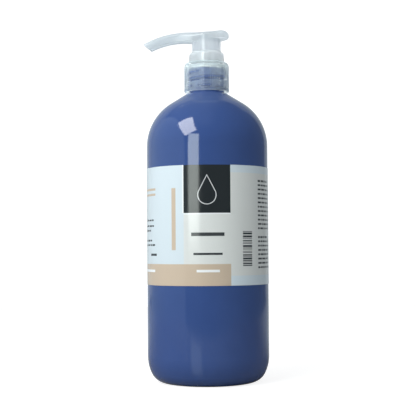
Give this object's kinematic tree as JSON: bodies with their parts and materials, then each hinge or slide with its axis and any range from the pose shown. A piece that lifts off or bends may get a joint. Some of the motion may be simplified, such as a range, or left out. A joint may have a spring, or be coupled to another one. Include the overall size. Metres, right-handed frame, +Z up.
{
  "type": "pump bottle",
  "caption": "Tall round pump bottle for oil: glossy body with a domed shoulder and a wrap-around label, ribbed screw collar and a press head with a long down-curved spout.",
  "frame": {"origin": "centre of the bottle's foot ring, on the surface that it stands on", "axes": "+Z up along the bottle's axis, spout towards -X, front of the label towards -Y"},
  "size_m": [0.0882, 0.0863, 0.2499],
  "materials": {
    "bottle_blue": "gloss",
    "label_print": "semi-gloss print on film",
    "natural_cap": "translucent natural",
    "natural_head": "translucent natural, smooth",
    "natural_pump": "translucent natural",
    "soft_white": "soft",
    "gasket": "foam",
    "spring_wire": "drawn",
    "ball_glass": "polished",
    "tube": "translucent natural"
  },
  "bodies": {
    "bottle": {"bottle": "bottle_blue", "neck": "bottle_blue", "label": "label_print"},
    "pump": {"housing": "natural_pump", "chaplet": "natural_cap", "stem_seal": "natural_pump", "gasket": "gasket", "ball_retainer": "natural_pump", "dip_tube": "tube", "spring": "spring_wire"},
    "collar": {"collar": "natural_cap"},
    "plunger": {"stem": "natural_pump", "piston_seat": "natural_pump"},
    "head": {"actuator": "natural_head"},
    "piston": {"piston": "soft_white"},
    "ball": {"inlet_ball": "ball_glass"}
  },
  "joints": [
    {"name": "pump_lift", "type": "slide", "parent": "bottle", "child": "pump", "axis": [0, 0, 1], "range_m": [0, 0.0064]},
    {"name": "collar_turn", "type": "hinge", "parent": "pump", "child": "collar", "pos_m": [0, 0, 0.216], "axis": [0, 0, 1], "range_deg": [0, 540]},
    {"name": "pump_stroke", "type": "slide", "parent": "pump", "child": "plunger", "axis": [0, 0, 1], "range_m": [0, 0.012], "stiffness_N_per_m": 950, "springref_m": 0.0183, "deforming": ["spring"]},
    {"name": "head_turn", "type": "hinge", "parent": "plunger", "child": "head", "pos_m": [0, 0, 0.235], "axis": [0, 0, 1], "continuous": true},
    {"name": "piston_slip", "type": "slide", "parent": "plunger", "child": "piston", "axis": [0, 0, 1], "range_m": [0, 0.0012]},
    {"name": "ball_lift", "type": "slide", "parent": "pump", "child": "ball", "axis": [0, 0, 1], "range_m": [0, 0.0015]}
  ],
  "couplings": [
    {"joint": "pump_lift", "follows": "collar_turn", "m_per_rad": 0.0006737}
  ]
}
